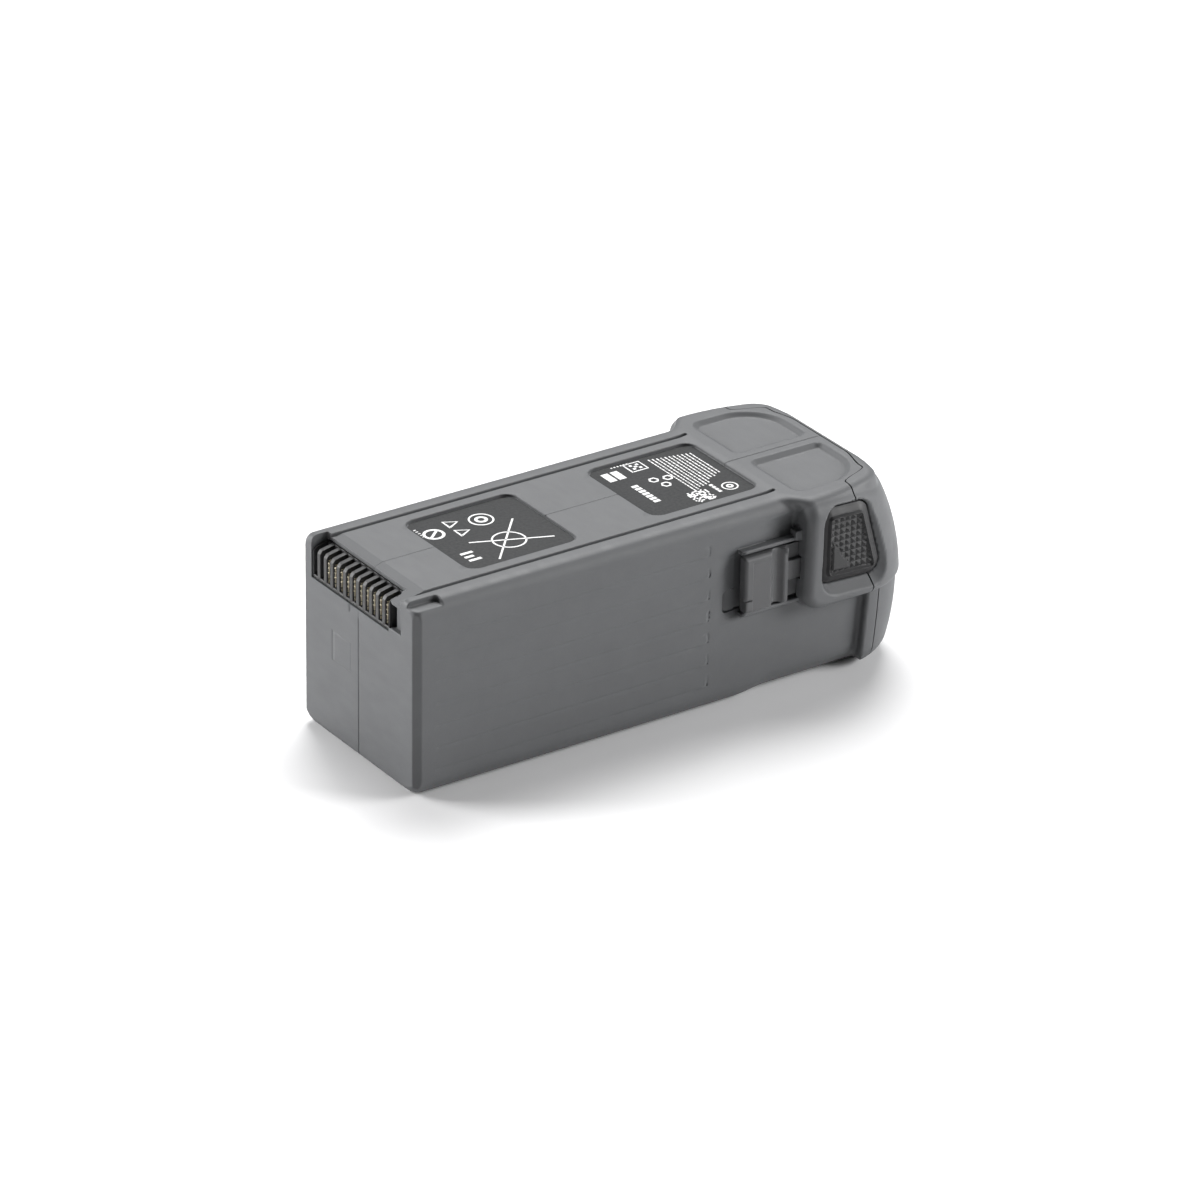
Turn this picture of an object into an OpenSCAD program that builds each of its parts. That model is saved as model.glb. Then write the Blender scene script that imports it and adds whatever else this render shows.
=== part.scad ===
// Slide-in battery pack: four pouch cells in a two-half case, a blade contact
// block at the front and a bulged cap with a squeeze release on each side.
// Frame: origin under the middle of the pack, +X towards the cap, +Z up.
// Inside the modules x is counted from the front face; place() moves a piece
// into the frame. The right side is at -Y, and left pieces are its mirror.

/* [Case] */
// Overall length, front face to the crown of the cap
total_len = 128; // [127:0.5:132]
// Width of the body without the ears
body_w = 44; // [44:0.5:46]
// Height of the body
body_h = 45; // [45:0.5:47]
// Width over the two ears round the release buttons
ear_w = 54.4; // [54:0.2:57]
// Wall thickness of the case halves
wall = 1.6; // [1.4:0.1:1.7]
// Radius of the long top edges
top_r = 3.8; // [3:0.2:4.2]
// Radius of the long bottom edges
bottom_r = 1.8; // [1.2:0.2:2.4]
// Where the case halves end and the cap begins
parting_x = 117.8; // [117:0.1:118.4]
// Width of the visible gap round the cap
parting_gap = 0.2; // [0.1:0.05:0.3]

/* [Top] */
// Distance of the guide grooves from the middle
groove_y = 16.3; // [15.8:0.1:17]
// Width of a guide groove
groove_w = 1; // [0.8:0.1:1.4]
// Depth of the grooves and of the label windows
recess_depth = 1; // [0.6:0.1:1]
// Where the guide grooves end
groove_end = 93.8; // [90:0.2:95]
// Front edge of the front label window
front_window_x = 19; // [16:0.5:22]
// Front edge of the rear label window
rear_window_x = 65.2; // [60:0.2:65.4]
// Length of a label window
window_len = 27.6; // [24:0.2:28]
// Width of a label window
window_w = 26.6; // [22:0.2:29]

/* [Contacts] */
// Number of slots in the contact block
slot_count = 12; // [8:1:12]
// Distance between slots
slot_pitch = 2.5; // [2.4:0.05:2.54]
// Width of a slot
slot_w = 1.3; // [1.1:0.1:1.4]
// Sideways offset of the contact block
contact_y = 3.25; // [2.5:0.25:3.5]
// Depth of the bay in front of the block's rear edge
bay_depth = 4.1; // [3.8:0.1:4.6]
// Underside of the contact block
contact_z = 35.3; // [34.5:0.1:36]

/* [Release] */
// Inward travel of a release
release_travel = 1.8; // [1.2:0.1:1.8]
// How far a latch stands out of the side
latch_out = 3; // [2.6:0.1:3]
// Front edge of the latch
latch_x = 81; // [80.5:0.1:81.5]
// Length of the latch hook
latch_len = 11.4; // [11:0.1:11.6]
// Diameter of a return spring
spring_d = 5; // [4:0.2:5.4]
// Wire of a return spring
spring_wire = 0.5; // [0.4:0.05:0.6]
// Working turns of a return spring
spring_turns = 5; // [4:1:6]

/* [Power key] */
// Radius of the power button
key_r = 5; // [4:0.2:5.4]
// Travel of the power button
key_travel = 0.4; // [0.3:0.05:0.4]
// Height of the power button's centre
key_z = 23; // [21:0.5:25]

/* [Cells] */
// Number of cells in the stack
cell_count = 4; // [4:1:4]
// Length of a cell's body
cell_len = 76.5; // [70:0.5:77]
// Width of a cell
cell_w = 39.2; // [37:0.1:39.3]
// Thickness of a cell
cell_t = 9.6; // [9:0.1:9.6]
// Thickness of a foam pad between cells
pad_t = 0.5; // [0.3:0.1:0.6]

/* [Hidden] */

$fn = 48;
far = 200;
eps = 0.01;
half_w = body_w / 2;
ear_half = ear_w / 2;
roof = body_h - recess_depth - 0.9;

// Tail: the ears and the bulged end
ear_x = 95.9;
ear_low = 18.8;
flange_x = 112.5;
flange_half = 24;
ear_parting_x = 110.5;
ear_parting_y = 19.6;
pocket_x = 97.6;
pocket_y = 23.6;
pocket_z = 21;
front_zone = 9;
front_half = 17.4;
notch_len = 7.2;
notch_in = 3.1;

// Contact block and main board
block_w = (slot_count - 1) * slot_pitch + slot_w + 0.8;
block_top = roof - 0.1;
block_back = 10.4;
block_front = 0.25;
slot_depth = 3.2;
slot_floor = 0.7;
contact_first = 2;
contact_last = slot_count - 1;
board_t = 1.2;
board_x = block_back;
board_half = 18.6;
board_low = 4;

// Cell stack
cell_x = 16.8;
stack_h = cell_count * cell_t + (cell_count - 1) * pad_t;
stack_z = wall + 0.35;
cell_edge = 1.6;
terrace_len = 3.4;
tab_w = 8;
sleeve_t = 0.15;
sleeve_gap = 0.05;
sleeve_x = cell_x + 1;
sleeve_len = cell_len - 2;

// Releases
latch_z = 22.3;
latch_h = 12.9;
latch_back = half_w + 0.3;
arm_t = 1.5;
arm_z = 26.8;
arm_h = 4.6;
arm_end = 99.4;
button_face = ear_half - 0.8;
button_back = 22.4;
pocket_in = button_back - release_travel - 1.2;
flange_grow = 0.9;
flange_t = 1;
spring_x = 106.6;
spring_z = 32.6;
seat_y = 15.6;
wire_sides = 8;
wire_steps = 16;

// Power key
board2_x = 117.2;
board2_half = 12;
board2_low = 9;
board2_h = 24;
key_flange = 1;
key_face_x = total_len - 0.4;
key_inner_x = 125.2;
light_count = 4;
light_pitch = 4;
light_z = 13;
light_r = 0.9;

module place() translate([-total_len / 2, 0, 0]) children();

module mirrored() mirror([0, 1, 0]) children();

// A box given by its lowest and highest corners
module span(low, high) translate(low) cube(high - low);

// ---------- outer form ----------

// Section of the body across X, with round long edges
module body_section(half, low, high, r_low, r_high) {
    translate([-half, low + r_low]) square([2 * half, high - low - r_low - r_high]);
    translate([-half + r_low, low]) square([2 * (half - r_low), r_low + eps]);
    translate([-half + r_high, high - r_high - eps]) square([2 * (half - r_high), r_high + eps]);
    for (side = [-1, 1]) {
        translate([side * (half - r_low), low + r_low]) circle(r_low);
        translate([side * (half - r_high), high - r_high]) circle(r_high);
    }
}

// Extrudes a section in (y, z) along X from x0 to x1
module along_x(x0, x1) translate([x0, 0, 0]) rotate([90, 0, 90]) linear_extrude(x1 - x0) children();

// One thin level of the tail's outline: front corners r0, rear corners r1
module tail_level(z, x0, x1, half, r0, r1) {
    for (side = [-1, 1]) {
        translate([x0 + r0, side * (half - r0), z]) cylinder(r = r0, h = eps, $fn = 24);
        translate([x1 - r1, side * (half - r1), z]) cylinder(r = r1, h = eps, $fn = 48);
    }
}

// Upper part of the tail, with the ears
module tail_upper() hull() {
    tail_level(ear_low, ear_x + 1.5, total_len, ear_half - 2.2, 2, 15);
    tail_level(ear_low + 2, ear_x + 0.4, total_len, ear_half - 0.7, 2.4, 16);
    tail_level(ear_low + 5, ear_x, total_len - 0.3, ear_half, 2.6, 17);
    tail_level(body_h - 8, ear_x, total_len - 3.3, ear_half, 2.6, 17);
    tail_level(body_h - 3.5, ear_x + 0.3, total_len - 5.8, ear_half - 1, 2.6, 15);
    tail_level(body_h - eps, ear_x + 1.4, total_len - 8.2, ear_half - 3.4, 2.4, 11);
}

// Lower part of the tail, narrower than the ears
module tail_lower() hull() {
    tail_level(0, flange_x + 0.6, total_len - 4.5, flange_half - 4.5, 1, 9);
    tail_level(1.4, flange_x + 0.2, total_len - 2.6, flange_half - 2, 1, 11);
    tail_level(5, flange_x, total_len - 1, flange_half, 1, 13);
    tail_level(ear_low + eps, flange_x, total_len, flange_half, 1, 13);
}

module body_outer() along_x(0, parting_x) body_section(half_w, 0, body_h, bottom_r, top_r);

module outer_form() {
    difference() {
        body_outer();
        front_chamfers();
        tail_chamfers();
    }
    tail_upper();
    tail_lower();
}

// Narrow chamfers on the upright front edges
module front_chamfers() {
    cut = 1.4;
    for (side = [-1, 1])
        translate([0, side * half_w, -1]) rotate([0, 0, 45]) translate([-cut / sqrt(2), -cut / sqrt(2), 0])
            cube([cut * sqrt(2), cut * sqrt(2), far]);
}

// The underside grows narrower towards the cap
module tail_chamfers() {
    start = 79;
    full = 90;
    cut = 3.4;
    for (side = [-1, 1])
        translate([full, side * half_w, 0]) rotate([45, 0, 0])
            translate([0, -cut / sqrt(2), -cut / sqrt(2)]) cube([far, cut * sqrt(2), cut * sqrt(2)]);
    for (side = [-1, 1])
        translate([0, side * half_w, 0]) mirror([0, side > 0 ? 1 : 0, 0])
            hull() {
                translate([start, -1, -1]) cube([eps, 1, 1]);
                translate([full, 0, 0]) rotate([45, 0, 0])
                    translate([0, -cut / sqrt(2), -cut / sqrt(2)]) cube([eps, cut * sqrt(2), cut * sqrt(2)]);
            }
}

// Everything behind the parting line, which steps forward round the ears
module cap_zone(gap) {
    span([parting_x + gap, -far, -1], [far, far, far]);
    for (side = [0, 1])
        mirror([0, side, 0])
            span([ear_parting_x + gap, -far, ear_low + gap], [far, -ear_parting_y - gap, far]);
}

// ---------- cavities and openings ----------

module inner_space() {
    along_x(wall + 0.2, front_zone) body_section(front_half, wall, roof, 1, 1);
    along_x(front_zone - eps, parting_x + 1) body_section(half_w - wall, wall, roof, 2.6, 1);
    release_pockets(ear_parting_x + 4);
}

cap_pocket_end = 116.4;

// Rooms in the ears for the flanges of the buttons
module release_pockets(end_x)
    for (side = [0, 1])
        mirror([0, side, 0]) span([pocket_x, -pocket_y, pocket_z], [end_x, -pocket_in, roof]);

module contact_bay() {
    y0 = contact_y - block_w / 2 - 0.1;
    y1 = contact_y + block_w / 2 + 0.1;
    span([-1, y0, contact_z - 0.1], [bay_depth, y1, far]);
    span([-1, y0, contact_z - 0.1], [block_back, y1, roof]);
    // ramp down to the block
    translate([bay_depth, 0, body_h - 0.9]) rotate([0, -18, 0])
        translate([-4, -groove_y + groove_w / 2, 0]) cube([8, 2 * groove_y - groove_w, 4]);
}

module grooves() {
    for (side = [-1, 1]) {
        translate([0, side * groove_y, body_h - recess_depth]) {
            translate([-1, -groove_w / 2, 0]) cube([groove_end + 1, groove_w, 4]);
            translate([groove_end, 0, 0]) cylinder(d = groove_w, h = 4);
        }
    }
}

// Rounded rectangle in plan
module plan_rect(x0, len, w, r, h) translate([x0, -w / 2, 0]) {
    translate([r, 0, 0]) cube([len - 2 * r, w, h]);
    translate([0, r, 0]) cube([len, w - 2 * r, h]);
    for (x = [r, len - r])
        for (y = [r, w - r])
            translate([x, y, 0]) cylinder(r = r, h = h);
}

module windows() {
    for (x = [front_window_x, rear_window_x])
        translate([0, 0, body_h - recess_depth]) plan_rect(x, window_len, window_w, 3, 4);
}

// Notches in the front corners of the shoulders and the pocket beside the block
module front_notches() {
    for (side = [0, 1])
        mirror([0, side, 0]) span([-1, -half_w - 1, body_h - 2.4], [notch_len, -half_w + notch_in, far]);
    span([-1, -groove_y, contact_z + 0.9], [1, -groove_y + 4, body_h - 3]);
}

button_corners = [[102.7, 27.1], [112, 26.6], [107.9, 38.7], [102.8, 39]];
button_corner_r = 2.9;

// Outline of the release button in (x, z), grown by g
module button_outline(g) hull()
    for (c = button_corners)
        translate(c) circle(r = button_corner_r + g, $fn = 32);

// Extrudes an outline in (x, z) along Y from y0 to y1
module along_y(y0, y1) translate([0, y1, 0]) rotate([90, 0, 0]) linear_extrude(y1 - y0) children();

// Way for one release through the right side
module release_openings() {
    along_y(-far, -half_w) button_outline(0.3);
    span([latch_x - 0.4, -half_w - 1, latch_z - 0.3], [ear_x + 4, -half_w + wall + 1, latch_z + latch_h + 0.3]);
    span([ear_x - 2, -latch_back - arm_t - 0.4, arm_z - 0.4], [ear_x + 4, -half_w + 1, arm_z + arm_h + 0.4]);
}

// ---------- case ----------

// Right half of the case, y below 0
module shell_half(with_pocket) {
    difference() {
        intersection() {
            outer_form();
            span([-1, -far, -1], [far, 0, far]);
        }
        cap_zone(0);
        inner_space();
        contact_bay_side(with_pocket);
        grooves();
        windows();
        front_notches_side(with_pocket);
        release_openings();
        screw_holes();
    }
    latch_rails();
    board_bosses();
}

// The bay sits off centre, so the mirrored half sees it from the other side
module contact_bay_side(is_right) mirror([0, is_right ? 0 : 1, 0]) contact_bay();

module front_notches_side(is_right) mirror([0, is_right ? 0 : 1, 0]) front_notches();

// Short rails above and below the latch
module latch_rails() {
    rail_t = 0.9;
    rail_out = 1.6;
    for (z = [latch_z - 0.4 - rail_t, latch_z + latch_h + 0.4])
        span([latch_x, -half_w - rail_out, z], [ear_x + 0.6, -half_w + 0.2, z + rail_t]);
}

board_boss_y = 16.4;
board_boss_z = [7.5, 30];
boss_r = 1.9;
pilot_r = 0.7;

module board_bosses() difference() {
    for (z = board_boss_z)
        translate([wall, -board_boss_y, z]) rotate([0, 90, 0]) cylinder(r = boss_r, h = board_x - wall);
    for (z = board_boss_z)
        translate([board_x - 5, -board_boss_y, z]) rotate([0, 90, 0]) cylinder(r = pilot_r, h = 6);
}

frame_screw_x = 99.4;
frame_screw_y = 12;

// Screws through the underside into the end frame, seen only from below
module screw_holes() {
    translate([frame_screw_x, -frame_screw_y, -1]) cylinder(r = 1.1, h = 10);
    translate([frame_screw_x, -frame_screw_y, -1]) cylinder(r = 2.1, h = 1.8);
}

module left_shell() color("dimgray") place() mirrored() shell_half(false);

module right_shell() color("dimgray") place() shell_half(true);

module end_cap() color("gray") place() {
    difference() {
        intersection() {
            union() {
                tail_upper();
                tail_lower();
            }
            cap_zone(parting_gap);
        }
        span([-1, -16.5, 5], [parting_x + 2.4, 16.5, body_h - 5]);
        span([-1, -14, 7], [key_inner_x - 0.1, 14, body_h - 12]);
        release_pockets(cap_pocket_end);
        for (side = [0, 1])
            mirror([0, side, 0]) along_y(-far, -half_w) button_outline(0.3);
        translate([0, 0, key_z]) rotate([0, 90, 0]) cylinder(r = key_r + 0.25, h = far);
        for (i = [0 : light_count - 1])
            translate([0, light_y(i), light_z]) rotate([0, 90, 0]) cylinder(r = light_r + 0.05, h = far);
    }
    cap_clips();
}

function light_y(i) = (i - (light_count - 1) / 2) * light_pitch;

// Tongues that slide into the case halves
module cap_clips() {
    clip_y = 10.5;
    clip_w = 5;
    for (side = [-1, 1])
        for (z = [3.6, body_h - 5.8])
            translate([113.6, side * clip_y - clip_w / 2, z]) cube([parting_x + 1.2 - 113.6, clip_w, 1.2]);
}

module front_label() color("black") place() label_plate(front_window_x);

module rear_label() color("black") place() label_plate(rear_window_x);

module label_plate(x) {
    inset = 0.15;
    translate([0, 0, body_h - recess_depth])
        plan_rect(x + inset, window_len - 2 * inset, window_w - 2 * inset, 2.85, 0.12);
}

// ---------- contact block ----------

function slot_y(i) = contact_y + ((slot_count - 1) / 2 - i) * slot_pitch;

contact_t = 0.25;
contact_h = 5.2;
tail_w = 0.9;
tail_h = 2.4;
tail_z = contact_z + 2.2;

module contact_housing() color("dimgray") place() difference() {
    contact_block_form();
    for (i = [0 : slot_count - 1])
        translate([-1, slot_y(i) - slot_w / 2, contact_z + slot_floor])
            cube([slot_depth + 1 + block_front, slot_w, far]);
    for (i = [contact_first : contact_last])
        span([slot_depth, slot_y(i) - tail_w / 2, tail_z], [block_back + 1, slot_y(i) + tail_w / 2, tail_z + tail_h]);
}

// Block with a rounded upper front edge
module contact_block_form() {
    r = 1;
    y0 = contact_y - block_w / 2;
    y1 = contact_y + block_w / 2;
    span([block_front, y0, contact_z], [block_back, y1, block_top - r]);
    span([block_front + r, y0, contact_z], [block_back, y1, block_top]);
    translate([block_front + r, y1, block_top - r]) rotate([90, 0, 0]) cylinder(r = r, h = y1 - y0);
}

// Each contact is a pair of leaves in a slot, with a tail to the board
module contact_blades() color("goldenrod") place()
    for (i = [contact_first : contact_last])
        translate([0, slot_y(i), 0]) {
            for (side = [-1, 1])
                translate([1.1, side * (slot_w - contact_t) / 2 - contact_t / 2, contact_z + slot_floor])
                    cube([slot_depth + block_front - 1.1, contact_t, contact_h]);
            span([slot_depth + block_front - 0.6, -tail_w / 2, tail_z], [block_back, tail_w / 2, tail_z + tail_h]);
        }

// ---------- releases ----------

module release_button() {
    along_y(-button_face, -button_back) button_outline(0);
    along_y(-button_back - flange_t, -button_back) button_outline(flange_grow);
    // spring post
    translate([spring_x, -button_back - eps, spring_z]) rotate([-90, 0, 0]) cylinder(r = spring_d / 2 - spring_wire - 0.3, h = 1.6);
    // thin border round the grip field, and the wedge at its lower front
    along_y(-button_face - 0.35, -button_face + eps) difference() {
        button_outline(-1.5);
        button_outline(-2);
    }
    along_y(-button_face - 0.6, -button_face + eps) polygon([[102.6, 27.8], [107.2, 27.4], [102.8, 33.8]]);
}

module left_button() color([0.25, 0.25, 0.27]) place() mirrored() release_button();

module right_button() color([0.25, 0.25, 0.27]) place() release_button();

// Hook with a valley behind its outer face, and the arm to the button
module release_latch() {
    out = half_w + latch_out;
    valley = out - 1.6;
    back = latch_back;
    translate([0, 0, latch_z]) linear_extrude(latch_h)
        polygon([[latch_x, -back], [latch_x, -out], [latch_x + 7, -out], [latch_x + 8.8, -valley],
            [latch_x + 9.9, -valley], [latch_x + 10.6, -out], [latch_x + latch_len, -out], [latch_x + latch_len, -back]]);
    span([latch_x + latch_len - eps, -back - arm_t, arm_z], [arm_end, -back, arm_z + arm_h]);
}

module left_latch() color([0.25, 0.25, 0.27]) place() mirrored() release_latch();

module right_latch() color([0.25, 0.25, 0.27]) place() release_latch();

// Points of the wire round the coil's line at angle a, as one ring
function coil_ring(a, len, r, wire) = [
    for (k = [0 : wire_sides - 1])
        let (b = 360 * k / wire_sides, rr = r + wire / 2 * cos(b))
            [rr * cos(a), rr * sin(a), wire / 2 + (len - wire) * a / (360 * spring_turns) + wire / 2 * sin(b)]
];

module coil(len, d, wire) {
    rings = spring_turns * wire_steps;
    points = [for (i = [0 : rings]) each coil_ring(360 * i / wire_steps, len, (d - wire) / 2, wire)];
    sides = [
        for (i = [0 : rings - 1])
            for (k = [0 : wire_sides - 1])
                let (next = (k + 1) % wire_sides, a = i * wire_sides, b = a + wire_sides)
                    [a + k, a + next, b + next, b + k]
    ];
    ends = [
        [for (k = [wire_sides - 1 : -1 : 0]) k],
        [for (k = [0 : wire_sides - 1]) rings * wire_sides + k]
    ];
    polyhedron(points, concat(sides, ends), convexity = 8);
}

module return_spring() translate([spring_x, -button_back + 0.02, spring_z]) rotate([-90, 0, 0])
    coil(button_back - seat_y - 0.04, spring_d, spring_wire);

module left_spring() color("silver") place() mirrored() return_spring();

module right_spring() color("silver") place() return_spring();

// ---------- power key ----------

module power_button() color("dimgray") place() translate([0, 0, key_z]) rotate([0, 90, 0]) {
    translate([0, 0, key_inner_x]) cylinder(r = key_r, h = key_face_x - key_inner_x);
    translate([0, 0, key_inner_x - 1.2]) cylinder(r = key_r + 0.8, h = key_flange);
    translate([0, 0, key_inner_x - 0.3]) cylinder(r = key_r, h = 0.4);
    translate([0, 0, board2_x + board_t + 1.5 + key_travel]) cylinder(r = 1, h = 4.6);
}

module light_guide() color("white") place() {
    span([board2_x + board_t + 1, light_y(0) - 1.4, light_z - 1.2],
        [board2_x + board_t + 3, light_y(light_count - 1) + 1.4, light_z + 1.2]);
    for (i = [0 : light_count - 1])
        translate([board2_x + board_t + 2.9, light_y(i), light_z]) rotate([0, 90, 0])
            cylinder(r = light_r, h = total_len - 0.6 - board2_x - board_t - 2.9);
}

module key_board() color("darkgreen") place()
    span([board2_x, -board2_half, board2_low], [board2_x + board_t, board2_half, board2_low + board2_h]);

module key_switch() color("black") place()
    span([board2_x + board_t, -2.2, key_z - 2.2], [board2_x + board_t + 1.4, 2.2, key_z + 2.2]);

module status_lights() color("white") place()
    for (i = [0 : light_count - 1])
        span([board2_x + board_t, light_y(i) - 0.8, light_z - 0.5],
            [board2_x + board_t + 0.6, light_y(i) + 0.8, light_z + 0.5]);

// ---------- cells ----------

function cell_z(i) = stack_z + i * (cell_t + pad_t);

// Pouch cell: soft-edged body and the sealed terrace at the front
module pouch_cell(i) {
    translate([0, 0, cell_z(i)]) {
        along_x(cell_x, cell_x + cell_len) body_section(cell_w / 2, 0, cell_t, cell_edge, cell_edge);
        span([cell_x - terrace_len, -cell_w / 2 + 1.5, cell_t / 2 - 0.2], [cell_x + eps, cell_w / 2 - 1.5, cell_t / 2 + 0.2]);
    }
}

module cell_1() color("lightgray") place() pouch_cell(0);

module cell_2() color("lightgray") place() pouch_cell(1);

module cell_3() color("lightgray") place() pouch_cell(2);

module cell_4() color("lightgray") place() pouch_cell(3);

module cell_tabs() color("silver") place()
    for (i = [0 : cell_count - 1])
        for (side = [-1, 1])
            translate([board_x + board_t, side * 9 - tab_w / 2, cell_z(i) + cell_t / 2 + 0.2])
                cube([cell_x - board_x - board_t, tab_w, 0.2]);

module foam_pad(i) span([cell_x + 3, -cell_w / 2 + 3, cell_z(i) + cell_t], [cell_x + cell_len - 3, cell_w / 2 - 3, cell_z(i + 1)]);

module pad_1() color("white") place() foam_pad(0);

module pad_2() color("white") place() foam_pad(1);

module pad_3() color("white") place() foam_pad(2);

module cell_sleeve() color("khaki") place() difference() {
    half = cell_w / 2 + sleeve_gap;
    low = stack_z - sleeve_gap;
    high = stack_z + stack_h + sleeve_gap;
    r = cell_edge + sleeve_gap;
    along_x(sleeve_x, sleeve_x + sleeve_len)
        body_section(half + sleeve_t, low - sleeve_t, high + sleeve_t, r + sleeve_t, r + sleeve_t);
    along_x(sleeve_x - 1, sleeve_x + sleeve_len + 1) body_section(half, low, high, r, r);
}

// ---------- boards ----------

module main_board() color("darkgreen") place() difference() {
    span([board_x, -board_half, board_low], [board_x + board_t, board_half, roof - 1]);
    for (side = [-1, 1])
        for (z = board_boss_z)
            translate([board_x - 1, side * board_boss_y, z]) rotate([0, 90, 0]) cylinder(r = 0.95, h = 4);
}

module board_screws() color("silver") place()
    for (side = [-1, 1])
        for (z = board_boss_z)
            translate([board_x - 3.5, side * board_boss_y, z]) rotate([0, 90, 0]) {
                cylinder(r = pilot_r - 0.02, h = 3.5 + board_t + 0.1);
                translate([0, 0, 3.5 + board_t]) cylinder(r = 1.5, h = 0.8);
            }

switch_size = [1.6, 5, 6];

module power_switches() color("black") place()
    for (i = [0 : 3])
        translate([board_x - switch_size[0], -11.5 + i * 6, 20]) cube(switch_size);

module gauge_chip() color("black") place()
    span([board_x - 1, -4, 9], [board_x, 3, 16]);

module sense_resistor() color("silver") place()
    span([board_x - 0.8, 6, 10], [board_x, 12, 13]);

module thermistor() color("peru") place()
    span([sleeve_x + 4, 6, stack_z + stack_h + sleeve_gap + sleeve_t], [sleeve_x + 8, 8, stack_z + stack_h + sleeve_gap + sleeve_t + 0.8]);

ribbon_t = 0.15;
ribbon_w = 8;
ribbon_z = roof - 0.3;

// Flat cable along the roof, down behind the end frame to the key board
module ribbon() color("orange") place() {
    drop_x = board2_x - 1;
    span([board_x + board_t, -ribbon_w / 2, ribbon_z - 1.2], [board_x + board_t + ribbon_t, ribbon_w / 2, ribbon_z + ribbon_t]);
    span([board_x + board_t, -ribbon_w / 2, ribbon_z], [drop_x, ribbon_w / 2, ribbon_z + ribbon_t]);
    span([drop_x - ribbon_t, -ribbon_w / 2, board2_low + board2_h - 1], [drop_x, ribbon_w / 2, ribbon_z + ribbon_t]);
    span([drop_x - ribbon_t, -ribbon_w / 2, board2_low + board2_h - 1 - ribbon_t],
        [board2_x, ribbon_w / 2, board2_low + board2_h - 1]);
}

// ---------- end frame ----------

frame_x = 95;
frame_t = 1.4;

module end_frame() color("gray") place() difference() {
    union() {
        along_x(frame_x, frame_x + frame_t)
            body_section(half_w - wall - 0.3, wall + 0.2, ribbon_z - 0.4, 2.6, 1);
        span([frame_x + frame_t - eps, -seat_y, 24], [114.6, seat_y, 37.5]);
        span([frame_x + frame_t - eps, -14.5, wall], [104, 14.5, 7]);
        for (y = [-9, 9])
            translate([114.5, y, 30]) rotate([0, 90, 0]) cylinder(r = 1.6, h = board2_x - 114.5);
    }
    // hollow of the spring beam
    span([frame_x - 1, -seat_y + 1.6, 25.6], [113, seat_y - 1.6, 35.9]);
    // wall cut back behind the latches
    for (side = [0, 1])
        mirror([0, side, 0]) span([frame_x - 1, -far, latch_z - 1.5], [frame_x + 5, -seat_y - 1, latch_z + latch_h + 1.5]);
    for (side = [-1, 1])
        translate([frame_screw_x, side * frame_screw_y, 0]) cylinder(r = pilot_r, h = 6);
}

module frame_screws() color("silver") place()
    for (side = [-1, 1])
        translate([frame_screw_x, side * frame_screw_y, 0.3]) {
            cylinder(r = 1.9, h = 0.5);
            cylinder(r = pilot_r - 0.02, h = 5);
        }

left_shell();
right_shell();
end_cap();
contact_housing();
contact_blades();
front_label();
rear_label();
left_button();
right_button();
left_latch();
right_latch();
left_spring();
right_spring();
power_button();
light_guide();
cell_1();
cell_2();
cell_3();
cell_4();
cell_tabs();
pad_1();
pad_2();
pad_3();
cell_sleeve();
main_board();
power_switches();
gauge_chip();
sense_resistor();
thermistor();
board_screws();
end_frame();
frame_screws();
key_board();
key_switch();
status_lights();
ribbon();
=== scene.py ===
"""Looks of a slide-in battery pack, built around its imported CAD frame.

Visible pieces are meshed from signed distance fields: a piece is the space where every one of its
sheets is below zero. Inside the fields lengths are millimetres, x counts from the front face of
the pack towards the cap, y from its middle plane and z from the surface that it stands on.
"""

import math

import bmesh
import bpy
import numpy as np
from mathutils import Matrix, Vector


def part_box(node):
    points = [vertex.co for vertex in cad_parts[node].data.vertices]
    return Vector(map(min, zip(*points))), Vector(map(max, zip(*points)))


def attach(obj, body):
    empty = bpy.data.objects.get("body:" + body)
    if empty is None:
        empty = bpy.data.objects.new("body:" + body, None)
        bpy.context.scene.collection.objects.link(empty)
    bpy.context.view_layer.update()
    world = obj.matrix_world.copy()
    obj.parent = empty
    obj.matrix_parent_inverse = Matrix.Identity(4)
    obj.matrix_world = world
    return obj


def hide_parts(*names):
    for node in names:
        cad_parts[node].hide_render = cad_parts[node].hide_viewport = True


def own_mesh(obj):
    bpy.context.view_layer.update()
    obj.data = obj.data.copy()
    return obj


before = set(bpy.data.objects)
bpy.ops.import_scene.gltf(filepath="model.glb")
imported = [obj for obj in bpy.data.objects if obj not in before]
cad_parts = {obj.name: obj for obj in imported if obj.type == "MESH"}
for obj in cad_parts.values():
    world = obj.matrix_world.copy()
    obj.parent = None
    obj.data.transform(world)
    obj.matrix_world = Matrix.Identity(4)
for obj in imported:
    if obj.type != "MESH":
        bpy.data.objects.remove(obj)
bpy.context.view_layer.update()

# ---------------------------------------------------------------- driving sizes, in millimetres
MM = 0.001
CASE_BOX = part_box("left_shell")
CAP_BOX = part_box("end_cap")
FRONT = CASE_BOX[0].x / MM
LENGTH = (CAP_BOX[1].x - CASE_BOX[0].x) / MM
HEIGHT = CASE_BOX[1].z / MM
EAR = CASE_BOX[1].y / MM
HALF = 22.0
TOP_R = 3.8
BOTTOM_R = 4.2
WALL = 1.6
ROOF = HEIGHT - 1.9
PARTING = 117.8
BODY_END = 119.0
GAP = 0.26
GROOVE_Y = 16.3
GROOVE_END = 93.8
RECESS = 1.0
WINDOW_LEN = 27.6
WINDOW_HALF = 13.3
WINDOWS = (19.0, 65.2)
EAR_FRONT = 95.9
EAR_LOW = 18.8
LOWER_HALF = 24.0
LOWER_FRONT = 112.5
END_BULGE_R = 50.0
END_BULGE_Z = 18.0
BUTTON_CORNERS = [(102.7, 27.1), (112.9, 26.6), (109.6, 38.7), (102.8, 39.0)]
BUTTON_R = 2.9
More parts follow.
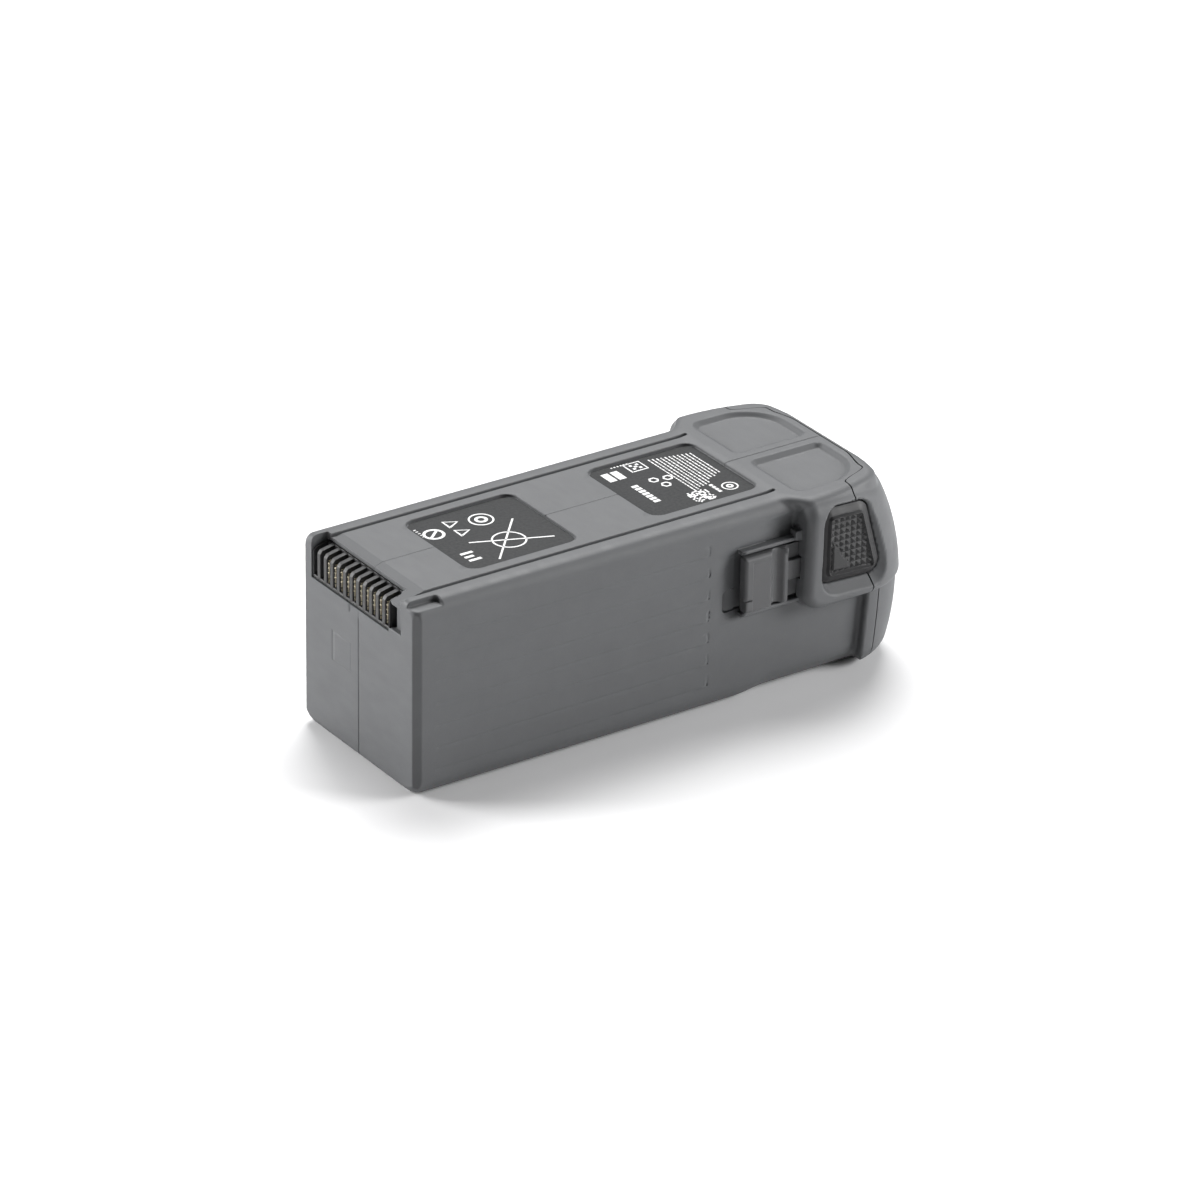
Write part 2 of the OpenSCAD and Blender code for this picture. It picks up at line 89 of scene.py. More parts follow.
WEDGE = [(102.8, 27.9), (107.0, 27.6), (103.0, 33.4)]
PYRAMID_PITCH = 1.45
SLOT_FIRST = 17.0
SLOT_PITCH = 2.5
SLOT_COUNT = 12
SLOT_W = 1.3
LABEL_Z = 44.0
KEY_Z = 23.0
KEY_R = 5.0
PIN_Z = 13.0
PIN_R = 0.9
PIN_Y = (-6.0, -2.0, 2.0, 6.0)
LATCH_FRONT = 81.0
LATCH_REAR = 92.4
LATCH_LOW = 22.3
LATCH_HIGH = 35.2
LATCH_BACK = 22.3
LATCH_FACE = 25.0
ARM_END = 99.4
ARM_LOW = 26.8
ARM_HIGH = 31.4
POCKET_FRONT = 97.6
POCKET_REAR = 116.4
POCKET_LOW = 21.0
POCKET_IN = 19.4
POCKET_OUT = 23.6
BUTTON_BACK = 22.4
FIELD_DEPTH = 1.0

# ---------------------------------------------------------------- camera and light
CAMERA_ANGLES = (34.737, 26.846, 0.888)  # heading, tilt and roll, in degrees
CAMERA_LENS = 196.47
CAMERA_PLACE = Vector((-0.711739, -1.022030, 0.650281))  # metres
AMBIENT = 0.07
LAMP_DISTANCE = 1.2
LAMPS = [  # name, direction, size in metres, power in watts
    ("left_box", (-1.0, 0.95, 0.5), 0.55, 17.5),
    ("right_box", (1.0, -0.72, 0.5), 0.55, 14.5),
    ("top_box", (0.35, 0.5, 1.0), 0.7, 17.5)]
FLOOR_HALF = 2.5


# ---------------------------------------------------------------- distance field tools
def smax(a, b, r):
    """Intersection of two fields whose common edge gets a round of radius r."""
    u = np.maximum(a + r, 0.0)
    v = np.maximum(b + r, 0.0)
    return np.minimum(np.maximum(a, b), -r) + np.sqrt(u * u + v * v)


def smin(a, b, r):
    """Union of two fields whose common corner gets a fillet of radius r."""
    return -smax(-a, -b, r)


def ramp(a, b, t):
    """Smooth step from 0 at a to 1 at b."""
    s = np.clip((t - a) / (b - a), 0.0, 1.0)
    return s * s * (3.0 - 2.0 * s)


def slab(t, low, high):
    """Field of the space between two planes."""
    return np.maximum(low - t, t - high)


def polygon(u, v, corners):
    """Exact field of a convex polygon whose corners run anticlockwise."""
    outside = np.full(np.broadcast(u, v).shape, 1e9)
    inside = np.full(outside.shape, -1e9)
    for (au, av), (bu, bv) in zip(corners, corners[1:] + corners[:1]):
        eu, ev = bu - au, bv - av
        length2 = eu * eu + ev * ev
        t = np.clip(((u - au) * eu + (v - av) * ev) / length2, 0.0, 1.0)
        du, dv = u - au - t * eu, v - av - t * ev
        outside = np.minimum(outside, np.sqrt(du * du + dv * dv))
        inside = np.maximum(inside, ((u - au) * ev - (v - av) * eu) / math.sqrt(length2))
    return np.where(inside > 0.0, outside, np.maximum(inside, -outside))


def rounded_rect(u, v, half_u, half_v, r):
    """Exact field of a rectangle with round corners, centred on the origin."""
    a = np.abs(u) - half_u + r
    b = np.abs(v) - half_v + r
    corner = np.sqrt(np.maximum(a, 0.0) ** 2 + np.maximum(b, 0.0) ** 2)
    return corner + np.minimum(np.maximum(a, b), 0.0) - r


def ticks(low, high, step, *fine):
    """Grid lines from low to high, closer together in each (from, to, step) of fine."""
    marks = sorted({low, high}.union(*({f[0], f[1]} for f in fine)) if fine else {low, high})
    marks = [m for m in marks if low <= m <= high]
    lines = []
    for a, b in zip(marks, marks[1:]):
        middle = (a + b) / 2
        size = min([step] + [f[2] for f in fine if f[0] <= middle <= f[1]])
        lines.extend(np.linspace(a, b, max(1, math.ceil((b - a) / size - 1e-6)) + 1)[:-1])
    return np.array(lines + [high]) + 0.0137


# ---------------------------------------------------------------- surface nets with sharp edges
CORNERS = np.array([(i, j, k) for i in (0, 1) for j in (0, 1) for k in (0, 1)])
EDGES = [(a, b) for a in range(8) for b in range(a + 1, 8) if np.abs(CORNERS[a] - CORNERS[b]).sum() == 1]


def corner_slice(array, corner):
    return array[tuple(slice(c, array.shape[n] - 1 + c) for n, c in enumerate(corner))]


def slope(sheet, p, here, h=0.004):
    """Gradient of a sheet at the points, by forward differences from its values here."""
    g = np.empty_like(p)
    for axis in range(3):
        step = np.zeros(3)
        step[axis] = h
        g[:, axis] = (sheet(*(p + step).T) - here) / h
    return g


def settle(p, sheets, crossed, size):
    """Moves each vertex onto the sheets that cross its cell, so edges between sheets stay sharp."""
    start = p.copy()
    for _ in range(3):
        f = np.zeros((len(p), len(sheets)))
        g = np.zeros((len(p), len(sheets), 3))
        for n, sheet in enumerate(sheets):
            rows = crossed[n]
            f[rows, n] = sheet(*p[rows].T)
            g[rows, n] = slope(sheet, p[rows], f[rows, n])
        gram = g @ g.transpose(0, 2, 1) + 1e-4 * np.eye(len(sheets))
        step = np.einsum("nsi,ns->ni", g, np.linalg.solve(gram, f[..., None])[..., 0])
        p = p - np.clip(step, -size, size)
    return np.where((np.abs(p - start) > 1.2 * size).any(1)[:, None], start, p)


def surface_net(sheets, xs, ys, zs):
    """Vertices and quads of the surface where the largest sheet is zero."""
    axes = (xs, ys, zs)
    grid = np.meshgrid(*axes, indexing="ij", sparse=True)
    shape = tuple(len(a) for a in axes)
    values = [np.broadcast_to(s(*grid), shape).astype(np.float32) for s in sheets]
    solid = np.maximum.reduce(values)
    inside = solid < 0
    count = sum(corner_slice(inside, c).astype(np.uint8) for c in CORNERS)
    cells = np.argwhere((count > 0) & (count < 8))
    number = np.full(count.shape, -1, np.int64)
    number[tuple(cells.T)] = np.arange(len(cells))
    at = [tuple((cells + c).T) for c in CORNERS]
    corner_value = np.stack([solid[a] for a in at], 1)
    corner_place = np.stack([np.stack([axes[n][a[n]] for n in range(3)], 1) for a in at], 1)
    total = np.zeros((len(cells), 3))
    crossings = np.zeros(len(cells))
    for a, b in EDGES:
        va, vb = corner_value[:, a], corner_value[:, b]
        cut = (va < 0) != (vb < 0)
        t = np.where(cut, va / np.where(cut, va - vb, 1.0), 0.0)[:, None]
        total += np.where(cut[:, None], corner_place[:, a] * (1 - t) + corner_place[:, b] * t, 0.0)
        crossings += cut
    p = total / crossings[:, None]
    size = corner_place[:, 7] - corner_place[:, 0]
    crossed = crossing_sheets(values, at, sheets, p)
    return settle(p, sheets, crossed, size), net_quads(inside, number)


def crossing_sheets(values, at, sheets, p):
    """For each sheet, which vertices lie on it."""
    here = np.stack([s(*p.T) for s in sheets], 1)
    best = here.argmax(1)
    found = []
    for n, v in enumerate(values):
        corners = np.stack([v[a] for a in at], 1)
        found.append(((corners.min(1) < 0) & (corners.max(1) >= 0)) | (best == n))
    return found


def net_quads(inside, number):
    """One quad round each grid edge that crosses the surface, facing outwards."""
    quads = []
    for axis in range(3):
        others = [n for n in range(3) if n != axis]
        a = inside[tuple(slice(0, -1) if n == axis else slice(1, -1) for n in range(3))]
        b = inside[tuple(slice(1, None) if n == axis else slice(1, -1) for n in range(3))]
        for low_inside in (True, False):
            hit = np.argwhere((a != b) & (a == low_inside))
            base = hit + [0 if n == axis else 1 for n in range(3)]
            ring = []
            for du, dv in ((1, 1), (0, 1), (0, 0), (1, 0)):
                cell = base.copy()
                cell[:, others[0]] -= du
                cell[:, others[1]] -= dv
                ring.append(number[tuple(cell.T)])
            forward = low_inside == (axis != 1)
            quads.append(np.stack(ring if forward else ring[::-1], 1))
    return np.concatenate(quads)


def sheet_of_faces(p, quads, sheets):
    """Which sheet each quad lies on."""
    centre = p[quads].mean(1)
    return np.stack([s(*centre.T) for s in sheets], 1).argmax(1)


def to_frame(p):
    """From the fields' millimetres to the frame's metres."""
    return (p + np.array([FRONT, 0.0, 0.0])) * MM


def link(name, mesh):
    made = bpy.data.objects.new(name, mesh)
    bpy.context.scene.collection.objects.link(made)
    return made


def corner_normals(p, quads, sheets):
    """Each quad corner's normal: the slope of the sheet that the quad lies on."""
    sheet_id = np.repeat(sheet_of_faces(p, quads, sheets), 4)
    vertex = quads.ravel()
    normals = np.zeros((len(vertex), 3))
    for n, sheet in enumerate(sheets):
        rows = sheet_id == n
        if rows.any():
            used, back = np.unique(vertex[rows], return_inverse=True)
            g = slope(sheet, p[used], sheet(*p[used].T))
            normals[rows] = (g / np.maximum(np.linalg.norm(g, axis=1), 1e-9)[:, None])[back]
    return normals


def make_mesh(name, p, quads):
    mesh = bpy.data.meshes.new(name)
    mesh.vertices.add(len(p))
    mesh.vertices.foreach_set("co", to_frame(p).astype(np.float32).ravel())
    mesh.loops.add(quads.size)
    mesh.loops.foreach_set("vertex_index", quads.ravel().astype(np.int32))
    mesh.polygons.add(len(quads))
    mesh.polygons.foreach_set("loop_start", np.arange(0, quads.size, 4, dtype=np.int32))
    mesh.update(calc_edges=True)
    return mesh


def carve(name, sheets, xs, ys, zs, offsets=(0.0,)):
    """A Blender object meshed from the sheets on that grid, repeated at each offset along y."""
    p, quads = surface_net(sheets, xs, ys, zs)
    normals = corner_normals(p, quads, sheets)
    if len(offsets) > 1:
        normals = np.tile(normals, (len(offsets), 1))
        quads = np.concatenate([quads + n * len(p) for n in range(len(offsets))])
        p = np.concatenate([p + np.array([0.0, offset, 0.0]) for offset in offsets])
    mesh = make_mesh(name, p, quads)
    mesh.polygons.foreach_set("use_smooth", np.ones(len(quads), bool))
    mesh.normals_split_custom_set(normals)
    mesh.update()
    return link(name, mesh)


# ---------------------------------------------------------------- the outer form of the case
RIB_LINES = tuple(36.9 - 5.13 * i for i in range(7))
RIB_ENDS = (4.8, 72.4)
CRESCENTS = tuple(38.2 - 5.13 * i for i in range(7))


def side_relief(x, z):
    """Depth of the fine parallel lines in the sides, and of the crescents at their rear end."""
    depth = 0.0 * x + 0.0 * z
    along = ramp(0.0, 1.0, x - RIB_ENDS[0]) * ramp(0.0, 1.0, RIB_ENDS[1] - x)
    for at in RIB_LINES:
        up = z - at
        depth = depth + 0.07 * along * np.clip(np.minimum(1.0 + up / 0.9, 1.0 - up / 0.1), 0.0, 1.0)
    for at in CRESCENTS:
        up = (z - at) / 1.3
        bow = x - 73.9 + 0.45 * up * up
        reach = np.clip(1.0 - up * up, 0.0, 1.0)
        depth = depth + 0.3 * reach * np.clip(1.0 + bow / 0.7, 0.0, 1.0) * (bow < 0.12)
    return depth


def scratch(t, width=0.16):
    """Cross-section of a fine V-shaped line at t = 0, 1 at its middle."""
    return np.clip(1.0 - np.abs(t) / width, 0.0, 1.0)


def front_relief(y, z):
    """Depth of the fine square outline on the front face, and of the jog of the seam."""
    across, up = y - 6.45, z - 22.75
    square = scratch(np.maximum(np.abs(across), np.abs(up)) - 3.4, 0.18)
    jog = scratch(y - 3.1, 0.2) * (z > 33.6)
    return 0.06 * square + 0.12 * jog


def latch_dip(x, z):
    """Depth of the slope that runs down to the front of each latch, and of the valley above it."""
    rows = ramp(19.6, 22.4, z) * (1.0 - ramp(34.6, 37.4, z))
    above = ramp(35.5, 37.5, z) * (1.0 - ramp(39.5, 42.5, z))
    front = rows * ramp(74.6, 81.6, x) * (1.0 - ramp(92.0, 95.0, x))
    return front + 1.3 * above * ramp(84.0, 95.5, x) * (1.0 - ramp(97.0, 99.0, x))


def body_form(x, y, z):
    """The straight body: round long edges, narrow chamfers in front, a tapering underside."""
    side = np.abs(y) - HALF + side_relief(x, z) + latch_dip(x, z)
    section = smax(smax(side, z - HEIGHT, TOP_R), -z, BOTTOM_R)
    cut = 3.4 * ramp(79.0, 91.0, x)
    underside = (np.abs(y) - HALF + cut - z) / math.sqrt(2.0)
    section = smax(section, underside, 1.5)
    corner = (np.abs(y) - HALF + 1.4 - x) / math.sqrt(2.0)
    section = smax(section, x - BODY_END, 5.0)
    edge = 0.9 + 1.8 * (1.0 - ramp(0.0, 5.0, z)) + 1.0 * ramp(40.0, 43.5, z)
    return smax(smax(section, front_relief(y, z) - x, edge), corner, 0.12)


def end_bulge(x, z):
    return np.sqrt((x - LENGTH + END_BULGE_R) ** 2 + (z - END_BULGE_Z) ** 2) - END_BULGE_R


def ears(x, y, z):
    """The upper tail with the two ears."""
    side = np.abs(y) - EAR
    front = EAR_FRONT - x + 0.04 * (z - 30.0)
    under = (EAR_LOW - z + 0.1 * (np.abs(y) - HALF)) / 1.005
    upper = smax(smax(side, end_bulge(x, z), 16.0), z - HEIGHT, 5.0)
    return smax(upper, smax(front, under, 4.5), 2.2)


def lower_tail(x, y, z):
    """The part below the ears, behind the nooks."""
    side = np.abs(y) - LOWER_HALF
    front = LOWER_FRONT + 0.09 * z - x
    plan = smax(smax(side, end_bulge(x, z), 13.0), front, 0.7)
    return np.maximum(smax(plan, -z, 4.5), z - EAR_LOW - 3.0)


def top_fields(x, y):
    """Depth of the two soft hollows in the top of the tail."""
    ay = np.abs(y)
    outline = smax(smax(x - LENGTH + 8.0, ay - EAR + 3.2, 14.0) + 3.6, 97.2 - x, 3.0)
    outline = smax(outline, 1.9 - ay, 2.0)
    return FIELD_DEPTH * ramp(0.0, 1.5, -outline)


def outer_form(x, y, z):
    high = ramp(41.0, 45.5, z)
    form = smin(body_form(x, y, z), ears(x, y, z), 0.7 + 5.0 * high)
    form = smin(form, lower_tail(x, y, z), 0.6)
    form = smax(form, z - HEIGHT, 0.8)
    seam = 0.13 * scratch(y, 0.2) * (x < PARTING) * (z < np.where(x < 2.0, 33.8, HEIGHT + 1.0))
    return form + top_fields(x, y) * ramp(HEIGHT - 4.0, HEIGHT - 2.0, z) + seam


def button_outline(x, z):
    return polygon(x, z, BUTTON_CORNERS) - BUTTON_R


def finger_dish(x, y, z):
    """Space of the flared hollow round a release button, with the button's own opening."""
    t = np.clip((np.abs(y) - EAR + 2.4) / 2.4, 0.0, 1.6)
    flared = button_outline(x - 1.7 * t, z + 0.7 * t) - 0.3 - 1.6 * t
    return np.maximum(flared, HALF - np.abs(y))


# ---------------------------------------------------------------- cuts in the case
def grooves(x, y, z):
    """The two guide grooves, which widen towards the front."""
    ay = np.abs(y)
    flare = 1.5 * (1.0 - ramp(0.5, 5.5, x))
    across = np.maximum(ay - GROOVE_Y - 0.5, GROOVE_Y - 0.5 - flare - ay)
    across = smax(across, x - GROOVE_END - 0.5, 0.5)
    return np.maximum(across, HEIGHT - RECESS - z)


def windows(x, y, z):
    near = [rounded_rect(x - w - WINDOW_LEN / 2, y, WINDOW_LEN / 2, WINDOW_HALF, 3.0) for w in WINDOWS]
    return np.maximum(np.minimum(*near), HEIGHT - RECESS - z)


BAY = dict(low=-11.65, high=18.15, depth=4.1, floor=35.2)


def contact_bay(x, y, z):
    across = slab(y, BAY["low"], BAY["high"])
    mouth = np.maximum(x - BAY["depth"], BAY["floor"] - z)
    tunnel = np.maximum(np.maximum(x - 10.5, BAY["floor"] - z), z - ROOF)
    bevel = HEIGHT - 0.9 - z + 0.325 * (x - BAY["depth"])
    lead_in = np.maximum(np.maximum(bevel, x - 9.0), np.abs(y) - GROOVE_Y + 0.5)
    return np.minimum(np.maximum(across, np.minimum(mouth, tunnel)), lead_in)


def front_notches(x, y, z):
    """Step in the front of the right shoulder, round at the back."""
    back = smax(x - 7.2, HALF - 3.5 + y, 1.0)
    return smax(back, HEIGHT - 1.6 - z, 0.4)


def side_pocket(x, y, z):
    """The small upright pocket beside the contact block, on the right."""
    across = slab(y, -GROOVE_Y + 0.1, -12.4)
    return np.maximum(np.maximum(across, slab(z, 36.2, 41.9)), x - 1.3)


def latch_window(x, y, z):
    """Recess that a latch and its arm sink into, with a small hole in front of the hook."""
    ay = np.abs(y)
    window_rear = ARM_END + 0.5
    floor = 20.4
    opening = slab(z, LATCH_LOW - 0.3, LATCH_HIGH + 0.3)
    opening = np.maximum(slab(x, LATCH_FRONT - 0.4, window_rear), opening)
    arm = np.maximum(slab(x, 93.9, window_rear), slab(z, ARM_LOW - 0.4, ARM_HIGH + 0.4))
    behind = slab(ay, floor, 23.0)
    through = slab(ay, floor, 24.2)
    hook_hole = smax(rounded_rect(x - 79.6, z - 24.7, 2.3, 2.7, 1.4), slab(ay, 20.9, 23.0), 0.1)
    window = np.minimum(np.maximum(opening, behind), np.maximum(arm, through))
    return np.minimum(window, hook_hole)


def inner_space(x, y, z):
    """The hollow of the case, narrower behind the front end and the latches, with the release pockets."""
    ay = np.abs(y)
    half = np.where(x < 9.0, 17.4, HALF - WALL)
    half = np.where((x > 78.0) & (x < POCKET_FRONT) & (z > 19.0) & (z < 37.0), 19.9, half)
    room = smax(ay - half, WALL - z, 2.6)
    room = np.maximum(np.maximum(room, z - ROOF), 1.8 - x)
    pocket = np.maximum(slab(ay, POCKET_IN, POCKET_OUT), slab(z, POCKET_LOW, ROOF))
    pocket = np.maximum(pocket, slab(x, POCKET_FRONT, POCKET_REAR))
    return np.minimum(room, pocket)


def latch_rails(x, y, z):
    """The rails above and below each latch, and the tab on the upper one."""
    ay = np.abs(y)
    upper = slab(z, 35.6, 36.5)
    lower = slab(z, 21.0, 21.9)
    rails = smax(np.minimum(upper, lower), ay - 23.6, 0.3)
    rails = np.maximum(np.maximum(rails, slab(x, 81.0, 96.5)), 21.8 - ay)
    tab = smax(slab(x, 94.6, 97.6), slab(z, 35.6, 37.9), 0.2)
    tab = np.maximum(smax(tab, ay - 23.9, 0.2), 21.8 - ay)
    return np.minimum(rails, tab)


def parting(x, y, z):
    """Zero along the parting surface, below zero on the side of the case halves."""
    ay = np.abs(y)
    lean = 7.4 - 4.4 * (1.0 - ramp(22.0, 40.0, z))
    top = x - PARTING + 1.6 * ramp(9.0, 17.0, ay) + lean * ramp(17.4, 21.6, ay)
    upper = top * 0.7
    foot = x - 117.2 + 0.07 * (EAR_LOW - z)
    low = ramp(EAR_LOW - 0.4, EAR_LOW + 0.2, z)
    return np.where(ay > 19.0, foot * (1.0 - low) + upper * low, upper)


X_LINES = [
    (-0.5, 8.2, 0.5), (-0.3, 1.5, 0.25), (3.8, 4.4, 0.2), (18.6, 22.2, 0.5), (43.4, 47.0, 0.5),
    (64.8, 68.4, 0.5), (89.6, 94.6, 0.5), (72.8, 75.0, 0.25), (76.8, 81.2, 0.35), (94.0, 119.0, 0.5)]
Z_LINES = [
    (-0.2, 3.4, 0.5), (19.0, 22.4, 0.26), (25.95, 26.35, 0.1), (19.15, 19.55, 0.1),
    (35.0, 37.9, 0.28), (37.2, 46.0, 0.55), (43.2, 45.4, 0.2), (9.0, 35.0, 0.8)]
Z_LINES += [(z - 0.2, z + 0.2, 0.1) for z in RIB_LINES]
Y_LINES = [
    (-0.1, 0.4, 0.1), (2.8, 3.3, 0.1), (9.65, 10.05, 0.1), (12.9, 13.7, 0.16), (15.4, 17.2, 0.16),
    (17.2, 28.0, 0.5), (21.6, 22.4, 0.25)]


# ---------------------------------------------------------------- the case halves and the cap
def opened_form(x, y, z):
    """The outer form with the hollow round each release button."""
    return smax(outer_form(x, y, z), -finger_dish(x, y, z), 0.35)


def shell_sheets(side):
    """Sheets of one case half: side is -1 for the right one, at -Y, and 1 for the left one."""

    def outer(x, y, z):
        form = smax(opened_form(x, y, z), -front_notches(x, y, z), 0.25)
        form = smin(form, latch_rails(x, y, z), 0.25)
        form = smax(form, -grooves(x, y, z), 0.18)
        form = smax(form, -windows(x, y, z), 0.22)
        return smax(form, -side_pocket(x, y, z), 0.15)

    def cuts(x, y, z):
        return -np.minimum(np.minimum(contact_bay(x, y, z), latch_window(x, y, z)), inner_space(x, y, z))

    def middle(x, y, z):
        return 0.04 - side * y + 0.0 * x

    return [outer, cuts, middle, parting]


def make_shell(name, side):
    xs = ticks(-0.5, 119.0, 2.6, *X_LINES)
    zs = ticks(-0.6, HEIGHT + 0.6, 1.6, *Z_LINES)
    ys = ticks(-0.4, 28.0, 1.6, *Y_LINES)
    return carve(name, shell_sheets(side), xs, ys if side > 0 else -ys[::-1], zs)


def cap_holes(x, y, z):
    """Openings of the power button and the four light pins, with a ring-shaped step."""
    from_key = np.sqrt(y * y + (z - KEY_Z) ** 2)
    step = smax(from_key - KEY_R - 1.5, LENGTH - 0.9 - x, 0.3)
    key = np.minimum(from_key - KEY_R - GAP, step)
    pins = [np.sqrt((y - p) ** 2 + (z - PIN_Z) ** 2) - PIN_R - 0.08 for p in PIN_Y]
    return np.maximum(np.minimum(key, np.minimum.reduce(pins)), 119.0 - x)


def cap_sheets():
    def outer(x, y, z):
        return smax(opened_form(x, y, z), -cap_holes(x, y, z), 0.2)

    def hollow(x, y, z):
        near_dish = 2.2 - finger_dish(x, y, z)
        return -np.maximum(outer_form(x, y, z) + 2.0, near_dish)

    def front(x, y, z):
        return GAP - parting(x, y, z)

    return [outer, hollow, front]


def make_cap(name):
    xs = ticks(106.0, LENGTH + 0.6, 0.5, (124.5, 128.6, 0.32))
    ys = ticks(-28.0, 28.0, 0.55, (-8.0, 8.0, 0.36))
    zs = ticks(-0.6, HEIGHT + 0.6, 0.55, (43.0, 45.6, 0.25), (-0.6, 1.0, 0.3))
    return carve(name, cap_sheets(), xs, ys, zs)


# ---------------------------------------------------------------- the releases
def grip_pyramids(x, z):
    u = (x - 102.6) / PYRAMID_PITCH
    v = (z - 27.3) / PYRAMID_PITCH
    off = np.maximum(np.abs(u - np.round(u)), np.abs(v - np.round(v)))
    return 0.62 * np.minimum(1.0 - 2.0 * off, 0.86)


def button_face_height(x, z):
    """How far a release button reaches outwards, from the pack's middle plane."""
    inset = -button_outline(x, z)
    skirt = 25.0 + 0.85 * ramp(0.0, 1.9, inset)
    border = 26.55 - 1.5 * np.abs(inset - 2.15)
    field = 25.75 + grip_pyramids(x, z)
    wedge = 26.75 - 0.06 * (z - 27.5) - 1.3 * np.maximum(polygon(x, z, WEDGE), 0.0)
    face = np.where(inset > 2.15, np.maximum(field, wedge), skirt)
    return np.maximum(face, border)


def button_sheets():
    def form(x, y, z):
        ay = np.abs(y)
        stem = smax(button_outline(x, z), ay - button_face_height(x, z), 0.3)
        flange = smax(button_outline(x, z) - 0.9, slab(ay, BUTTON_BACK, POCKET_OUT), 0.25)
        flange = np.maximum(flange, x - POCKET_REAR + 0.6)
        return np.minimum(np.maximum(stem, BUTTON_BACK - ay), flange)

    return [form]


def make_button(name, side):
    xs = ticks(97.8, 116.4, 0.17)
    zs = ticks(22.6, 43.3, 0.17)
    ys = ticks(22.0, 27.4, 0.3, (25.2, 27.4, 0.16))
    return carve(name, button_sheets(), xs, ys if side > 0 else -ys[::-1], zs)


def latch_sheets():
    def form(x, y, z):
        ay = np.abs(y)
        block = smax(slab(x, LATCH_FRONT, LATCH_REAR), slab(z, LATCH_LOW, LATCH_HIGH), 0.5)
        block = smax(block, slab(ay, LATCH_BACK, LATCH_FACE), 0.8)
        face = np.maximum(np.maximum(83.0 - x, z - 33.9), 24.55 - ay)
        valley = smax(np.abs(x - 89.7) - 0.8 - 0.75 * (ay - 23.4), 23.4 - ay, 0.5)
        taper = (x - 91.5 - 0.06 * (z - LATCH_LOW)) * 0.99
        block = smax(smax(smax(block, -face, 0.12), -valley, 0.3), np.minimum(taper, 23.4 - ay), 0.2)
        split = np.maximum(np.maximum(slab(z, 25.1, 25.4), x - 83.2), 24.5 - ay)
        foot = np.maximum(np.maximum(z - 25.2, x - 81.25), 22.6 - ay)
        block = np.maximum(np.maximum(block, -split), -foot)
        arm = np.maximum(slab(x, 92.0, ARM_END), slab(z, ARM_LOW, ARM_HIGH))
        arm = smax(arm, slab(ay, LATCH_BACK, 23.8), 0.3)
        plate = np.maximum(slab(x, 91.5, 97.2), slab(z, LATCH_LOW + 0.3, LATCH_HIGH - 0.3))
        plate = smax(plate, slab(ay, LATCH_BACK, 22.85), 0.2)
        return np.minimum(np.minimum(block, arm), plate)

    return [form]


def make_latch(name, side):
    xs = ticks(80.6, 99.8, 0.4, (80.6, 83.6, 0.16), (88.4, 92.8, 0.2))
    fine = [(21.9, 22.9, 0.2), (24.8, 25.7, 0.12), (26.4, 27.2, 0.2), (33.4, 35.6, 0.16)]
    zs = ticks(21.9, 35.6, 0.5, *fine)
    ys = ticks(21.9, 25.4, 0.25, (24.2, 25.4, 0.14))
    return carve(name, latch_sheets(), xs, ys if side > 0 else -ys[::-1], zs)


def make_spring(name, cad_node):
    """A five-turn coil with flat ground ends, between the end frame and the button."""
    low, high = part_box(cad_node)
    wire = 0.25
    turns, steps, sides = 5.0, 160, 12
    radius = (high.x - low.x) / MM / 2 - wire
    centre = (low + high) / 2 / MM
    length = (high.y - low.y) / MM - 2 * wire
    t = np.linspace(0.0, 1.0, steps + 1)
    lift = ramp(0.0, 0.2, t) * 0.5 * t + 0.5 * t
    lift = (lift + 1.0 - lift[::-1]) / 2
    angle = 2 * math.pi * turns * t
    axis = np.stack([radius * np.cos(angle), length * (lift - 0.5), radius * np.sin(angle)], 1)
    out = np.stack([np.cos(angle), 0 * t, np.sin(angle)], 1)
    along = np.gradient(axis, axis=0)
    along /= np.linalg.norm(along, axis=1)[:, None]
    up = np.cross(along, out)
    ring = np.arange(sides) * 2 * math.pi / sides
    p = axis[:, None] + wire * (np.cos(ring)[:, None] * out[:, None] + np.sin(ring)[:, None] * up[:, None])
    p = p.reshape(-1, 3) + np.array([centre.x, centre.y, centre.z])
    mesh = bpy.data.meshes.new(name)
    faces = []
    for i in range(steps):
        for j in range(sides):
            k = (j + 1) % sides
            faces.append((i * sides + j, i * sides + k, (i + 1) * sides + k, (i + 1) * sides + j))
    faces.append(tuple(range(sides))[::-1])
    faces.append(tuple(steps * sides + j for j in range(sides)))
    mesh.from_pydata((p * MM).tolist(), [], faces)
    mesh.shade_smooth()
    mesh.update()
    return link(name, mesh)


# ---------------------------------------------------------------- the connector
def slot_distance(y):
    """Distance from the nearest slot's middle plane, for the twelve slots."""
    v = np.clip(np.round((SLOT_FIRST - y) / SLOT_PITCH), 0, SLOT_COUNT - 1)
    return np.abs(y - SLOT_FIRST + SLOT_PITCH * v)


def housing_sheets():
    def form(x, y, z):
        top = np.where(x < 3.9, np.minimum(42.25 + 0.2 * (x - 0.9), 42.85), 42.95)
        top = np.minimum(top, 41.5 + 1.15 * (x - 0.3))
        block = smax(slab(x, 0.3, 10.4), slab(y, -11.5, 18.0), 0.25)
        block = smax(block, np.maximum((z - top) * 0.9, 35.3 - z), 0.22)
        slots = np.maximum(np.maximum(slot_distance(y) - SLOT_W / 2, 36.0 - z), x - 3.95)
        return smax(block, -slots, 0.14)

    return [form]


def make_housing(name):
    xs = ticks(0.0, 10.8, 0.8, (0.0, 5.0, 0.26), (0.0, 1.4, 0.14))
    ys = ticks(-11.9, 18.4, 0.125)
    zs = ticks(35.0, 43.3, 0.6, (35.0, 36.4, 0.2), (41.0, 43.3, 0.16))
    return carve(name, housing_sheets(), xs, ys, zs)


